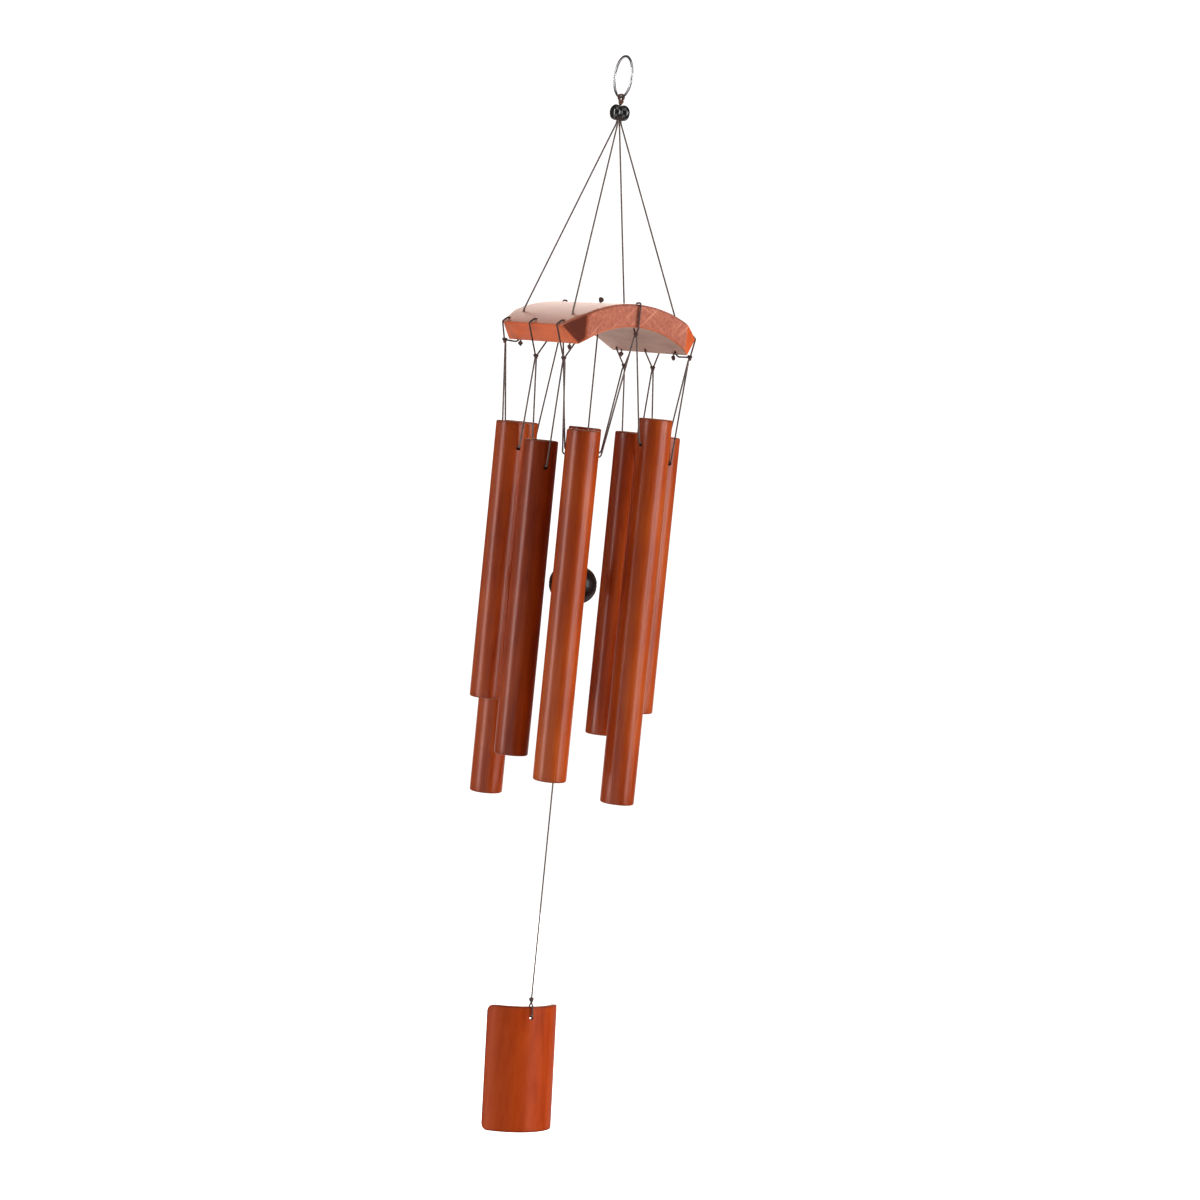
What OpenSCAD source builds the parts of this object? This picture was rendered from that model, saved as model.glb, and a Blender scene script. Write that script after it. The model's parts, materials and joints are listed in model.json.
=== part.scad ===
// Bamboo wind chime: an arched bamboo hanger, eight tubes, a clapper and a sail.
// Millimetres, +Z up. The origin is where a hook bears inside the ring's top.
// The hanger's fibres run along Y, and its arch spans X.

/* [Ring and bead] */
// Outside diameter of the hanging ring
ring_od = 30; // [24:0.5:40]
// Diameter of the ring's wire
wire_d = 1.8; // [1.4:0.1:2.6]
// Diameter of the lashing knot under the ring
hitch_knot_d = 4.4; // [4:0.1:6]
// Largest diameter of the two-lobed bead
bead_d = 11; // [10:0.25:15]
// Radius that rounds each lobe of the bead
lobe_r = 3.5; // [3.2:0.1:4.5]
// Distance of each lobe's middle from the cords
lobe_x = 3; // [2.6:0.1:3.1]
// Bore of the bead, which all four cords go through
bead_bore = 4.6; // [4.4:0.1:5.2]

/* [Hanger plate] */
// How far the plate's crest hangs below the origin
plate_drop = 170; // [130:1:220]
// Width across the arch
plate_w = 103; // [92:1:112]
// Length along the fibres
plate_l = 128; // [116:1:150]
// Outside radius of the culm that the plate was split from
plate_r = 79; // [76:1:110]
// Thickness of the culm's wall
plate_t = 16; // [11:0.5:17]
// Leg of each cut corner
corner_cut = 14; // [8:0.5:15]

/* [Cords] */
// Diameter of the cord
cord_d = 1.3; // [1:0.05:1.5]
// Diameter of a tied knot
knot_d = 4.2; // [3.6:0.1:4.8]
// Clearance between a cord or knot and what it seats on
cord_gap = 0.35; // [0.3:0.05:0.5]
// Diameter of the holes drilled in the plate
plate_hole_d = 2.6; // [2.4:0.1:3.2]
// Distance of a suspension hole from the middle, across the arch
sus_x = 39.5; // [34:0.5:40]
// Distance of a suspension hole from the middle, along the fibres
sus_y = 42.5; // [36:0.5:43]
// Distance of a side's rim hole in from the plate's edge
rim_inset = 4; // [3.5:0.25:6]
// Distance of an end's rim hole in from the end face
end_inset = 6; // [4:0.5:9]
// Distance of the outer rim loops from the middle of a side
rim_y = 47.5; // [47:0.25:49.5]
// How far a side's rim knot hangs below the plate's inner edge
side_knot_drop = 10; // [7:0.5:16]
// How far a side's rim knot stands out from the plate's inner edge
side_knot_out = 4; // [2:0.25:6]
// How far a tight corner's rim knot hangs below the plate's inner edge
tight_knot_drop = 0.5; // [0:0.25:3]
// How far a tight corner's rim knot stands out from the plate's inner edge
tight_knot_out = 8.5; // [7.5:0.25:9]
// How far an end's rim knot hangs below the crest's underside
end_knot_drop = 4; // [3.5:0.25:8]
// How far an end's rim knot stands in from the end face
end_knot_in = 2; // [1:0.25:4]

/* [Tubes] */
// Outside diameter of a tube
tube_od = 23.5; // [20:0.25:25]
// Wall of a tube
tube_wall = 3.2; // [2.2:0.1:4]
// Length of the shortest tubes
tube_len_1 = 195; // [160:1:240]
// Length of the second tubes
tube_len_2 = 218; // [180:1:260]
// Length of the third tubes
tube_len_3 = 241; // [200:1:280]
// Length of the longest tubes
tube_len_4 = 267; // [210:1:300]
// How far the tubes' tops hang below the crest
tube_drop = 88; // [80:1:120]
// How much lower the second tube hangs
low_by = 10; // [0:0.5:14]
// How much higher the fourth tube hangs
high_by = 12; // [0:0.5:14]
// How far the third tube sits off the middle of its cord, towards the left side
front_slide = 5; // [0:0.25:5.5]
// How far the eighth tube sits off the middle of its cord, towards the left side
back_slide = 3; // [0:0.25:3.5]
// Cord hole's distance below a tube's top
hole_inset = 17.5; // [10:0.5:24]
// Diameter of a tube's cord hole
tube_hole_d = 3.2; // [3:0.1:4]
// Easing of a tube's cut edges
tube_ease = 0.7; // [0.3:0.05:1]

/* [Clapper and sail] */
// Diameter of the clapper
clapper_d = 34; // [28:0.5:38]
// Height of the clapper
clapper_h = 27.5; // [20:0.5:28]
// Bore of the clapper
clapper_bore = 3; // [2.4:0.1:4]
// How far the clapper's middle hangs below the crest
clapper_drop = 197.5; // [170:0.5:220]
// Length of the first, bending stretch of the clapper's cord
link_len = 7; // [5:0.5:12]
// How far the sail's knot hangs below the crest
sail_drop = 495; // [440:1:560]
// Outside radius of the culm that the sail was split from
sail_r = 30; // [26:0.5:36]
// Wall of the sail
sail_wall = 3.8; // [2.6:0.1:4.4]
// Half of the angle that the sail covers
sail_half = 65; // [50:1:75]
// Height of the sail
sail_h = 89; // [70:1:120]
// Corner radius of the sail
sail_round = 5; // [2:0.5:9]
// Cord hole's distance below the sail's top edge
sail_hole_inset = 7; // [5:0.5:12]

/* [Hidden] */
$fn = 64;

cord_r = cord_d / 2;
knot_r = knot_d / 2;
tube_r = tube_od / 2;
// A cord's middle lies this far off a surface that it runs along
off = cord_r + cord_gap;
// Two cords that share a knot leave it this far to each side of its middle
lay = cord_r + 0.45;

// Ring and what hangs right below it
ring_z = wire_d - ring_od / 2;
wire_z = ring_z - (ring_od - wire_d) / 2;
hitch_r = hitch_knot_d / 2;
hitch_z = wire_z - wire_d / 2 - cord_gap - hitch_r;
lobe_in = bead_d / 2 - lobe_r;
bead_z = hitch_z - lobe_in - sqrt(pow(lobe_r + hitch_r + cord_gap, 2) - lobe_x * lobe_x);
bead_low = bead_z - bead_d / 2;
bundle = 0.9 * cord_r / 0.65;

// The plate's arch
crest_z = -plate_drop;
arc_z = crest_z - plate_r;
in_r = plate_r - plate_t;
edge_a = asin(plate_w / 2 / plate_r);
rim_a = asin((plate_w / 2 - rim_inset) / plate_r);
end_y = plate_l / 2;
under_z = crest_z - plate_t;
function arch(r, a) = [r * sin(a), arc_z + r * cos(a)];
function arch_z(r, x) = arc_z + sqrt(r * r - x * x);

// Rim knots, in order round the plate from the back left corner
side_x = arch(in_r, edge_a)[0] + side_knot_out;
side_z = arch(in_r, edge_a)[1] - side_knot_drop;
tight_x = arch(in_r, edge_a)[0] + tight_knot_out;
tight_z = arch(in_r, edge_a)[1] - tight_knot_drop;
crown_y = end_y - end_knot_in;
crown_z = under_z - end_knot_drop;
KNOTS = [[-tight_x, rim_y, tight_z], [-side_x, 0, side_z], [-side_x, -rim_y, side_z],
    [0, -crown_y, crown_z],
    [tight_x, -rim_y, tight_z], [side_x, 0, side_z], [side_x, rim_y, side_z],
    [0, crown_y, crown_z]];

// Each tube hangs between two neighbouring rim knots
LENGTHS = [tube_len_1, tube_len_2, tube_len_3, tube_len_4];
LOWER = [0, low_by, 0, -high_by, 0, 0, 0, 0];
SLIDE = [0, 0, -front_slide, 0, 0, 0, 0, back_slide];
function unit(v) = v / norm(v);
function flat(v) = [v[0], v[1], 0];
function from(i) = KNOTS[i - 1];
function to(i) = KNOTS[i % 8];
function along(i) = unit(flat(to(i) - from(i)));
function middle(i) = flat(from(i) + to(i)) / 2 + SLIDE[i - 1] * along(i);
function top_z(i) = crest_z - tube_drop - LOWER[i - 1];
function long(i) = LENGTHS[(i - 1) % 4];
function hold_z(i) = top_z(i) - hole_inset;
tube_sag = tube_hole_d / 2 - cord_r - cord_gap;
// A tube's cord leaves its hole this far off the wall, then turns up over this far
lip = 0.45;
turn_out = 1.5;
turn_up = 1.2;

// Clapper's line
stub_z = under_z - 1;
link_z = stub_z - 0.3 - link_len;
clapper_z = crest_z - clapper_drop;
stop_z = clapper_z - clapper_h / 2 - cord_gap - knot_r;
sail_z = crest_z - sail_drop;

// The sail hangs with its centre of mass under its knot, so it leans forward
sail_in = sail_r - sail_wall;
sail_top = knot_r + cord_gap + cord_d + 1.25;
half_rad = sail_half * PI / 180;
mass_r = 2 / 3 * sin(sail_half) / half_rad * (pow(sail_r, 3) - pow(sail_in, 3))
    / (sail_r * sail_r - sail_in * sail_in);
sail_lean = atan((sail_r - sail_wall / 2 - mass_r) / (sail_top + sail_h / 2));

// A cord of eight sides along a route, mitred at each bend
function turned(d) = abs(d[2]) < 0.9 ? unit(cross([0, 0, 1], d)) : unit(cross([1, 0, 0], d));
function first_ring(p, d, r) = let (e = turned(d), f = cross(d, e))
    [for (k = [0:7]) p + r * (cos(45 * k) * e + sin(45 * k) * f)];
function heading(p, i) = unit(p[i + 1] - p[i]);
function plane(p, i) = i == len(p) - 1 ? heading(p, i - 1)
    : unit(heading(p, i - 1) + heading(p, i));
function carried(ring, p, i) = let (d = heading(p, i - 1), n = plane(p, i))
    [for (v = ring) v + d * ((p[i] - v) * n) / (d * n)];
function rings(p, ring, i) = i == len(p) ? []
    : let (next = carried(ring, p, i)) concat([next], rings(p, next, i + 1));

module cord(p, d = cord_d) {
    start = first_ring(p[0], heading(p, 0), d / 2 / cos(22.5));
    all = concat([start], rings(p, start, 1));
    n = len(all) - 1;
    polyhedron([for (ring = all, v = ring) v], concat(
        [for (k = [1:6]) [0, k, k + 1]],
        [for (k = [1:6]) [8 * n, 8 * n + k + 1, 8 * n + k]],
        [for (i = [0:n - 1], k = [0:7]) let (m = (k + 1) % 8)
            [8 * i + k, 8 * i + 8 + k, 8 * i + 8 + m]],
        [for (i = [0:n - 1], k = [0:7]) let (m = (k + 1) % 8)
            [8 * i + k, 8 * i + 8 + m, 8 * i + m]]));
}

module knot(p, d = knot_d) translate(p) sphere(d = d, $fn = 24);

// Wire ring, in the plane of the plate's fibres
module hanging_ring() color("silver")
    translate([0, 0, ring_z]) rotate([0, 90, 0])
        rotate_extrude() translate([(ring_od - wire_d) / 2, 0]) circle(d = wire_d);

// Two turns of cord over the ring's wire, drawn together in a knot
module ring_hitch() color("saddlebrown") {
    turn = wire_d / 2 + off;
    for (y = [-1, 1] * (cord_r + 0.3))
        cord(concat([[0.5 * cord_r, y / 2, hitch_z]],
            [for (a = [-40:35:220]) [turn * cos(a), y, wire_z + turn * sin(a)]],
            [[-0.5 * cord_r, y / 2, hitch_z]]));
    knot([0, 0, hitch_z], hitch_knot_d);
}

// Black bead of two rounded discs, bored across for the cords
module top_bead() color([0.06, 0.06, 0.06])
    translate([0, 0, bead_z]) difference() {
        rotate([0, 90, 0]) rotate_extrude() intersection() {
            union() {
                for (s = [-1, 1]) translate([lobe_in, s * lobe_x]) circle(r = lobe_r);
                translate([0, -lobe_x - lobe_r])
                    square([lobe_in, 2 * (lobe_x + lobe_r)]);
            }
            translate([0, -bead_d]) square([bead_d, 2 * bead_d]);
        }
        cylinder(h = 2 * bead_d, d = bead_bore, center = true);
    }

// Cord from the bead through the plate to a stop knot under it
module suspension_cord(sx, sy) color([0.35, 0.28, 0.26]) {
    up = arch_z(plate_r, sus_x);
    below = arch_z(in_r - knot_r - cord_gap, sus_x);
    cord([[sx * bundle, sy * bundle, hitch_z - hitch_r - cord_gap - 0.1],
        [sx * bundle, sy * bundle, bead_low - 1],
        [sx * sus_x, sy * sus_y, up + 1.2],
        [sx * sus_x, sy * sus_y, below]]);
    knot([sx * sus_x, sy * sus_y, below]);
}

// Slab split from a culm, both long edges cut towards the culm's axis
module hanger_plate() color([0.72, 0.36, 0.24]) difference() {
    intersection() {
        translate([0, 0, arc_z]) rotate([90, 0, 0])
            linear_extrude(plate_l, center = true) intersection() {
                difference() {
                    circle(r = plate_r);
                    circle(r = in_r);
                }
                polygon([[0, 0], 2 * plate_r * [-sin(edge_a), cos(edge_a)],
                    2 * plate_r * [sin(edge_a), cos(edge_a)]]);
            }
        translate([0, 0, arc_z]) linear_extrude(2 * plate_r) polygon(
            [for (q = [[1, 1, 0], [1, 1, 1], [-1, 1, 1], [-1, 1, 0],
                [-1, -1, 0], [-1, -1, 1], [1, -1, 1], [1, -1, 0]])
                [q[0] * (plate_w / 2 - q[2] * corner_cut),
                q[1] * (end_y - (1 - q[2]) * corner_cut)]]);
    }
    for (sx = [-1, 1], sy = [-1, 1]) translate([sx * sus_x, sy * sus_y, arc_z])
        cylinder(h = 2 * plate_r, d = plate_hole_d);
    for (s = [-1, 1], y = [-rim_y, 0, rim_y]) translate([0, y, arc_z])
        rotate([0, s * rim_a, 0]) cylinder(h = 2 * plate_r, d = plate_hole_d);
    for (s = [-1, 0, 1]) translate([0, s * (end_y - end_inset), arc_z])
        cylinder(h = 2 * plate_r, d = plate_hole_d);
}

// Loop through a rim hole and over the plate's edge, tied in a knot below.
// Its route lies in an upright plane: distance from the middle, then height.
// At a tight corner it also bears round the plate's inner edge.
function side_route(k, bear) = let (e = arch(plate_r, edge_a), f = arch(in_r, edge_a),
    step = 180 / PI / plate_r) concat(
    [k + [0.4, 0.8], e + off * [cos(-15), sin(-15)], e + off * [cos(20), sin(20)],
    arch(plate_r + off, edge_a - 0.4), arch(plate_r + off, rim_a + 1.35 * step),
    arch(plate_r + 0.3, rim_a), arch(in_r - 0.8, rim_a)],
    [for (a = bear) f + off * [cos(a), sin(a)]], [k + [-0.4, 0.6 * (len(bear) ? -1 : 1)]]);
function end_route() = let (e = [end_y, crest_z], f = [end_y, under_z],
    k = [crown_y, crown_z], h = end_y - end_inset)
    [k + [0.3, 0.4], f + off * [cos(-60), sin(-60)], f + off * [cos(-10), sin(-10)],
    e + off * [1, 0], e + off * [cos(45), sin(45)], e + [-0.4, off],
    [h + 1.35, crest_z + off], [h, crest_z + 0.3], [h, under_z - 0.8], k + [-0.4, 0.6]];

module rim_loop(i) color([0.2, 0.13, 0.11]) {
    k = KNOTS[i - 1];
    if (i % 4 == 0) cord([for (q = end_route()) [0, sign(k[1]) * q[0], q[1]]]);
    else cord([for (q = side_route([abs(k[0]), k[2]], i % 4 == 1 ? [235, 290] : []))
        [sign(k[0]) * q[0], k[1], q[1]]]);
    knot(k);
}

// One cord carries a tube: down from a knot, through both holes, up to the next
module tube_cord(i) color([0.35, 0.28, 0.26]) {
    t = along(i);
    m = middle(i) + [0, 0, hold_z(i)];
    leave = [0, 0, -knot_r - cord_gap];
    cord([from(i) + lay * t + leave,
        m - t * (tube_r + turn_out) + [0, 0, turn_up], m - t * (tube_r + lip),
        m + t * (tube_r + lip), m + t * (tube_r + turn_out) + [0, 0, turn_up],
        to(i) - lay * t + leave]);
}

// Open length of bamboo with eased ends and two cord holes
module chime_tube(i) color([0.6, 0.25, 0.1])
    translate(middle(i) + [0, 0, top_z(i) - long(i)]) difference() {
        rotate_extrude() polygon([
            [tube_r - tube_wall, tube_ease / 2], [tube_r - tube_wall + tube_ease / 2, 0],
            [tube_r - tube_ease, 0], [tube_r, tube_ease],
            [tube_r, long(i) - tube_ease], [tube_r - tube_ease, long(i)],
            [tube_r - tube_wall + tube_ease / 2, long(i)],
            [tube_r - tube_wall, long(i) - tube_ease / 2]]);
        translate([0, 0, long(i) - hole_inset - tube_sag])
            rotate([0, 0, atan2(along(i)[1], along(i)[0])]) rotate([0, 90, 0])
                cylinder(h = 2 * tube_od, d = tube_hole_d, center = true);
    }

// Ball knot on the crest and its cord through the plate
module centre_knot() color([0.25, 0.12, 0.12]) {
    z = crest_z + cord_gap + knot_r;
    cord([[0, 0, z], [0, 0, stub_z]]);
    knot([0, 0, z]);
}

// First stretch of the clapper's cord, which bends to the front and back
module clapper_link() color([0.35, 0.28, 0.26])
    cord([[0, 0, stub_z - 0.3], [0, 0, link_z]]);

// Cord that the clapper is threaded on, with its stop knot
module clapper_cord() color([0.35, 0.28, 0.26]) {
    cord([[0, 0, link_z - 0.3], [0, 0, stop_z]]);
    knot([0, 0, stop_z]);
}

// Oblate turned ball
module clapper() color([0.1, 0.07, 0.06])
    translate([0, 0, clapper_z]) difference() {
        rotate_extrude() intersection() {
            union() {
                translate([(clapper_d - clapper_h) / 2, 0]) circle(d = clapper_h);
                translate([0, -clapper_h / 2])
                    square([(clapper_d - clapper_h) / 2, clapper_h]);
            }
            translate([0, -clapper_d]) square(2 * clapper_d);
        }
        cylinder(h = 2 * clapper_d, d = clapper_bore, center = true);
    }

module sail_cord() color([0.35, 0.28, 0.26])
    cord([[0, 0, stop_z - knot_r - cord_gap], [0, 0, sail_z + knot_r + cord_gap]]);

module sail_knot() color([0.25, 0.15, 0.12]) knot([0, 0, sail_z]);

// The sail and its loop are drawn upright below the knot, then lean together
module leaning() translate([0, 0, sail_z]) rotate([-sail_lean, 0, 0]) children();

module sail_loop() color([0.25, 0.15, 0.12]) leaning() {
    y = sail_wall / 2 + off;
    z = -sail_top - sail_hole_inset;
    start = [0, cord_r + 0.15, -knot_r - cord_gap - 0.15];
    route = [start, [0, y, -sail_top + 0.4], [0, y, z + 1.2], [0, y - 0.6, z]];
    cord(concat([for (p = route) [0, -p[1], p[2]]], [for (k = [3:-1:0]) route[k]]));
}

// Slat split from a thin culm, round side to the front
module sail() color([0.62, 0.24, 0.1]) leaning() difference() {
    intersection() {
        translate([0, sail_r - sail_wall / 2, -sail_top - sail_h])
            linear_extrude(sail_h) intersection() {
                difference() {
                    circle(r = sail_r);
                    circle(r = sail_in);
                }
                polygon([[0, 0], 3 * sail_r * [-sin(sail_half), -cos(sail_half)],
                    3 * sail_r * [sin(sail_half), -cos(sail_half)]]);
            }
        translate([0, 2 * sail_r, -sail_top - sail_h / 2]) rotate([90, 0, 0])
            linear_extrude(4 * sail_r) rounded(2 * sail_r * sin(sail_half), sail_h, sail_round);
    }
    translate([0, 0, -sail_top - sail_hole_inset - tube_sag]) rotate([90, 0, 0])
        cylinder(h = 4 * sail_wall, d = tube_hole_d, center = true);
}

module rounded(w, h, r) {
    square([w - 2 * r, h], center = true);
    square([w, h - 2 * r], center = true);
    for (x = [-1, 1], y = [-1, 1]) translate([x * (w / 2 - r), y * (h / 2 - r)]) circle(r = r);
}

hanging_ring();
ring_hitch();
top_bead();
suspension_cord(-1, 1);  // suspension_cord_1
suspension_cord(-1, -1);  // suspension_cord_2
suspension_cord(1, -1);  // suspension_cord_3
suspension_cord(1, 1);  // suspension_cord_4
hanger_plate();
rim_loop(1);  // rim_loop_1
rim_loop(2);  // rim_loop_2
rim_loop(3);  // rim_loop_3
rim_loop(4);  // rim_loop_4
rim_loop(5);  // rim_loop_5
rim_loop(6);  // rim_loop_6
rim_loop(7);  // rim_loop_7
rim_loop(8);  // rim_loop_8
tube_cord(1);  // tube_cord_1
tube_cord(2);  // tube_cord_2
tube_cord(3);  // tube_cord_3
tube_cord(4);  // tube_cord_4
tube_cord(5);  // tube_cord_5
tube_cord(6);  // tube_cord_6
tube_cord(7);  // tube_cord_7
tube_cord(8);  // tube_cord_8
chime_tube(1);  // chime_tube_1
chime_tube(2);  // chime_tube_2
chime_tube(3);  // chime_tube_3
chime_tube(4);  // chime_tube_4
chime_tube(5);  // chime_tube_5
chime_tube(6);  // chime_tube_6
chime_tube(7);  // chime_tube_7
chime_tube(8);  // chime_tube_8
centre_knot();
clapper_link();
clapper_cord();
clapper();
sail_cord();
sail_knot();
sail_loop();
sail();
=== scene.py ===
import json, math, random
import bpy
from mathutils import Matrix, Vector

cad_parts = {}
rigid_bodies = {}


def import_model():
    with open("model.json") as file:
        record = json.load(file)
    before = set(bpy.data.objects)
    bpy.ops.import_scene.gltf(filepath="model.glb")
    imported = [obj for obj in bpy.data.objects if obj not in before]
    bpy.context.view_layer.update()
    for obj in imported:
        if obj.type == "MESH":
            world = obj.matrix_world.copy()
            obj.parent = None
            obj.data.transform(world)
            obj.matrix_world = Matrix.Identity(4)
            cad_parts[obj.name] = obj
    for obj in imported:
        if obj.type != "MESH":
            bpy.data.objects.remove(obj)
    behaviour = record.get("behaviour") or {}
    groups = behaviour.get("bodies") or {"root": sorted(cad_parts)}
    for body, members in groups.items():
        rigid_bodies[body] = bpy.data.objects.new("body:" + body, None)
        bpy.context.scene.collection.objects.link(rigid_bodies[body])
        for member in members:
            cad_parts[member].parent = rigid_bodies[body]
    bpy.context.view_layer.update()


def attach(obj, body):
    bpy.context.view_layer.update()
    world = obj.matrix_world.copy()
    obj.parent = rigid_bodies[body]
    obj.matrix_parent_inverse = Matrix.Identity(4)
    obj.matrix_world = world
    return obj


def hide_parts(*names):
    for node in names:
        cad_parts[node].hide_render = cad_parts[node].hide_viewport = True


bpy.ops.object.select_all(action="SELECT")
bpy.ops.object.delete()
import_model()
MM = 0.001

# Studio: a white floor with white walls, soft boxes that only light the chime,
# others that only shine in its lacquer, and weak fills. The camera stands as in the
# photograph, a little left of the plate's end face and turned a few degrees.
AIR_TINT, AIR_LIGHT = (1, 0.985, 0.97, 1), 0.09
scene = bpy.context.scene
scene.view_settings.view_transform = "Standard"
world = bpy.data.worlds.new("studio_air")
scene.world = world
world.use_nodes = True
air = world.node_tree.nodes["Background"]
air.inputs["Color"].default_value = AIR_TINT
air.inputs["Strength"].default_value = AIR_LIGHT

FLOOR_Z, FLOOR_WIDE, WALL_HIGH = -1.05, 14, 7
bpy.ops.mesh.primitive_plane_add(size=1, location=(0, 0, FLOOR_Z))
floor = bpy.context.object
floor.name = "studio_floor"
floor.scale = (FLOOR_WIDE, FLOOR_WIDE, 1)
bpy.ops.object.transform_apply(location=True, rotation=True, scale=True)
bpy.ops.object.mode_set(mode="EDIT")
bpy.ops.mesh.select_mode(type="EDGE")
bpy.ops.mesh.select_all(action="SELECT")
bpy.ops.mesh.extrude_edges_move(TRANSFORM_OT_translate={"value": (0, 0, WALL_HIGH)})
bpy.ops.object.mode_set(mode="OBJECT")
paper = bpy.data.materials.new("white_paper")
paper.use_nodes = True
paper_shader = paper.node_tree.nodes["Principled BSDF"]
paper_shader.inputs["Base Color"].default_value = (0.9, 0.9, 0.9, 1)
paper_shader.inputs["Roughness"].default_value = 0.95
paper_shader.inputs["Specular IOR Level"].default_value = 0.0
paper_shader.inputs["Emission Color"].default_value = (1, 1, 1, 1)
paper_shader.inputs["Emission Strength"].default_value = 1.0
floor.data.materials.append(paper)
floor.visible_glossy = False
floor.visible_diffuse = False
floor.visible_shadow = False

HANG_MID = Vector((0, 0, -0.38))


def soft_box(name, place, wide, high, watts, lights=True, shines=True, tint=(1, 1, 1)):
    """A rectangle of light towards the chime. It may only light surfaces or only shine in them."""
    lamp = bpy.data.lights.new(name, "AREA")
    lamp.shape = "RECTANGLE"
    lamp.size, lamp.size_y, lamp.energy, lamp.color = wide, high, watts, tint
    box = bpy.data.objects.new(name, lamp)
    scene.collection.objects.link(box)
    box.location = place
    box.rotation_euler = (HANG_MID - Vector(place)).to_track_quat("-Z", "Y").to_euler()
    box.visible_camera = False
    box.visible_diffuse, box.visible_glossy = lights, shines


soft_box("key_box", (1.9, -1.5, 0.1), 1.7, 2.6, 88, shines=False)
soft_box("key_glint", (1.65, -1.35, 0.05), 0.5, 1.2, 14, lights=False)
soft_box("left_sheen", (-2.3, -0.1, 0.0), 0.6, 2.4, 40, lights=False)
soft_box("right_sheen", (0.99, -1.72, 0.0), 0.4, 2.4, 22, lights=False)
soft_box("left_box", (-2.1, 1.3, -0.1), 1.4, 2.4, 38, shines=False)
soft_box("back_fill", (0.9, 2.2, -0.8), 1.6, 1.6, 24, shines=False)
soft_box("back_sheen", (0.95, 2.1, 0.4), 1.5, 0.9, 13, lights=False, tint=(1, 0.87, 0.8))
soft_box("top_fill", (-0.3, -0.9, 1.5), 1.6, 1.6, 10)
soft_box("floor_bounce", (-0.5, -0.3, -1.04), 1.6, 1.6, 8)
soft_box("back_bounce", (0.25, 0.5, -1.04), 1.6, 1.6, 4.5)

LENS = 84.17
camera_data = bpy.data.cameras.new("photo_camera")
camera_data.lens = LENS
camera_data.clip_start, camera_data.clip_end = 0.05, 40
camera = bpy.data.objects.new("photo_camera", camera_data)
scene.collection.objects.link(camera)
CAMERA_PLACE = Vector((-0.81837, -1.7881, -0.22524))
LOOK = Vector((0.4242, 0.90231, -0.0768)).normalized()
CAMERA_ROLL = math.radians(5.73)
level_right = LOOK.cross(Vector((0, 0, 1))).normalized()
level_up = level_right.cross(LOOK)
right = level_right * math.cos(CAMERA_ROLL) + level_up * math.sin(CAMERA_ROLL)
up = level_up * math.cos(CAMERA_ROLL) - level_right * math.sin(CAMERA_ROLL)
turn = Matrix((right, up, -LOOK)).transposed().to_4x4()
camera.matrix_world = Matrix.Translation(CAMERA_PLACE) @ turn
scene.camera = camera

# Hanging ring: bright steel wire bent round, its two ends butted together at
# the top, where a fine seam shows. A hook or nail goes through it.
RING_OD, WIRE = 30 * MM, 1.8 * MM
SEAM_HALF, SEAM_TALL, SEAM_PINCH = 0.35 * MM, 2 * MM, 0.8
ring_z = WIRE - RING_OD / 2


class Wire:
    """A node's output. Arithmetic on it adds Math nodes; node() adds any other node."""

    def __init__(self, tree, socket):
        self.tree, self.socket = tree, socket

    def node(self, kind, settings, inputs, out=0):
        made = self.tree.nodes.new("ShaderNode" + kind)
        for key, value in settings.items():
            if key == "stops":
                ramp = made.color_ramp.elements
                while len(ramp) < len(value):
                    ramp.new(0.5)
                for stop, (at, colour) in zip(ramp, value):
                    stop.position, stop.color = at, (*colour, 1)
            else:
                setattr(made, key, value)
        for key, value in inputs.items():
            if isinstance(value, Wire):
                self.tree.links.new(value.socket, made.inputs[key])
            else:
                made.inputs[key].default_value = value
        return Wire(self.tree, made.outputs[out])

    def sum(self, operation, first, second):
        return self.node("Math", {"operation": operation}, {0: first, 1: second})

    def __add__(self, other):
        return self.sum("ADD", self, other)

    def __sub__(self, other):
        return self.sum("SUBTRACT", self, other)

    def __rsub__(self, other):
        return self.sum("SUBTRACT", other, self)

    def __mul__(self, other):
        return self.sum("MULTIPLY", self, other)

    def __pow__(self, other):
        return self.sum("POWER", self, other)

    def attribute(self, name):
        return self.node("Attribute", {"attribute_name": name}, {}, "Fac")

    def stretched(self, x, y, z):
        return self.node("Mapping", {}, {"Vector": self, "Scale": (x, y, z)})

    def turned(self, degrees):
        """Turned about Y."""
        return self.node("Mapping", {}, {"Vector": self, "Rotation": (0, math.radians(degrees), 0)})

    def noise(self, scale, detail=3.0, rough=0.55):
        return self.node("TexNoise", {}, {"Vector": self, "Scale": scale, "Detail": detail,
                                          "Roughness": rough})

    def ramp(self, *stops):
        return self.node("ValToRGB", {"stops": stops}, {"Fac": self})

    def band(self, low, high):
        """0 below low, 1 above high, smooth between."""
        return self.node("MapRange", {"interpolation_type": "SMOOTHSTEP"},
                         {"Value": self, "From Min": low, "From Max": high})

    def mixed(self, first, second):
        """first where this is 0, second where it is 1; both are colours."""
        first, second = [c if isinstance(c, Wire) else (*c, 1) for c in (first, second)]
        return self.node("Mix", {"data_type": "RGBA"}, {0: self, 6: first, 7: second}, 2)

    def bump(self, strength, depth):
        return self.node("Bump", {}, {"Height": self, "Strength": strength, "Distance": depth})


def finish_start(name, **plain):
    """A new material: itself, its Object coordinates and a function that feeds its shader."""
    material = bpy.data.materials.new(name)
    material.use_nodes = True
    tree = material.node_tree
    shader = tree.nodes["Principled BSDF"]
    for key, value in plain.items():
        shader.inputs[key.replace("_", " ")].default_value = value
    place = tree.nodes.new("ShaderNodeTexCoord").outputs["Object"]

    def feed(socket, wire):
        tree.links.new(wire.socket, shader.inputs[socket])

    return material, Wire(tree, place), feed


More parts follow.
